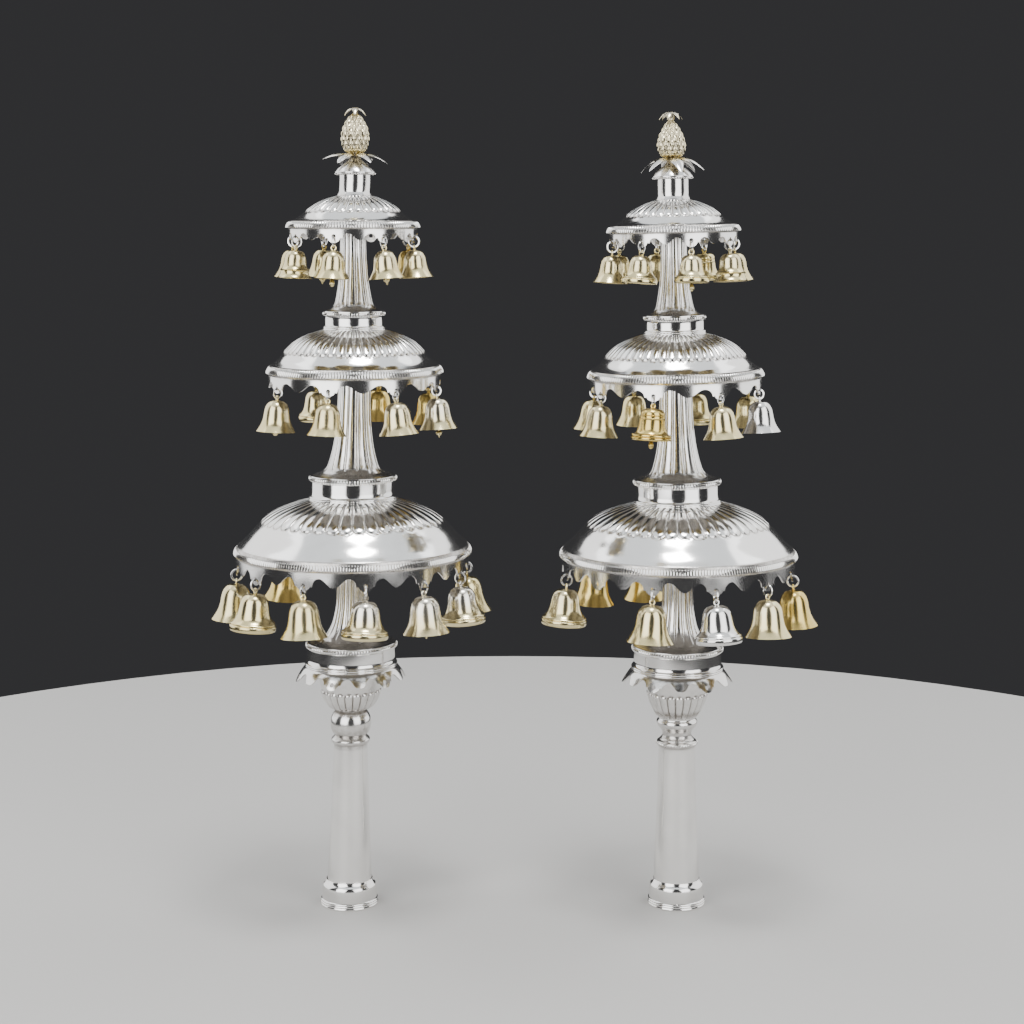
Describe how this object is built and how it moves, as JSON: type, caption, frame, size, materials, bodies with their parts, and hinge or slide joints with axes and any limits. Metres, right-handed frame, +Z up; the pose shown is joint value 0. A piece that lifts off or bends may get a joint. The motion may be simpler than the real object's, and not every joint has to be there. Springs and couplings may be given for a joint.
{
  "type": "pair of torah finials",
  "caption": "Pair of three-tiered silver torah finials with gadrooned domes, scalloped aprons, hanging bells and pineapple tops, on tapering sockets.",
  "frame": {"origin": "on the standing surface, midway across the pair and midway front to back", "axes": "+Z up along the towers, +X from the left tower to the right one, the front faces -Y"},
  "size_m": [0.321, 0.148, 0.43],
  "materials": {
    "silver": "polished silver with light grey-brown tarnish in the hollows",
    "gilt": "worn pale gilding over silver",
    "gold": "fuller gilding, less worn"
  },
  "bodies": {
    "root": {"left_calyx_stem": "silver", "left_lower_bell_1": "gilt", "left_lower_bell_2": "gilt", "left_lower_bell_3": "gilt", "left_lower_bell_4": "gilt", "left_lower_bell_5": "gilt", "left_lower_bell_6": "gilt", "left_lower_bell_7": "gilt", "left_lower_bell_8": "gold", "left_lower_dome": "silver", "left_middle_bell_1": "gilt", "left_middle_bell_2": "gilt", "left_middle_bell_3": "gilt", "left_middle_bell_4": "gilt", "left_middle_bell_5": "gilt", "left_middle_bell_6": "gilt", "left_middle_bell_7": "gilt", "left_middle_dome": "silver", "left_middle_stem": "silver", "left_pineapple_cap": "silver", "left_stave_socket": "silver", "left_top_bell_1": "gilt", "left_top_bell_2": "gilt", "left_top_bell_3": "gilt", "left_top_bell_4": "gilt", "left_top_bell_5": "gilt", "left_top_bell_6": "gilt", "left_top_bell_7": "gilt", "left_top_dome": "silver", "left_upper_stem": "silver", "right_calyx_stem": "silver", "right_lower_bell_1": "gilt", "right_lower_bell_2": "gilt", "right_lower_bell_3": "silver", "right_lower_bell_4": "gilt", "right_lower_bell_5": "gold", "right_lower_bell_6": "gold", "right_lower_bell_7": "gold", "right_lower_dome": "silver", "right_middle_bell_1": "gilt", "right_middle_bell_2": "gold", "right_middle_bell_3": "gilt", "right_middle_bell_4": "silver", "right_middle_bell_5": "gilt", "right_middle_bell_6": "gilt", "right_middle_bell_7": "gilt", "right_middle_bell_8": "gilt", "right_middle_dome": "silver", "right_middle_stem": "silver", "right_pineapple_cap": "silver", "right_stave_socket": "silver", "right_top_bell_1": "gilt", "right_top_bell_2": "gilt", "right_top_bell_3": "gilt", "right_top_bell_4": "gilt", "right_top_bell_5": "gilt", "right_top_bell_6": "gilt", "right_top_bell_7": "gilt", "right_top_dome": "silver", "right_upper_stem": "silver"}
  },
  "joints": []
}
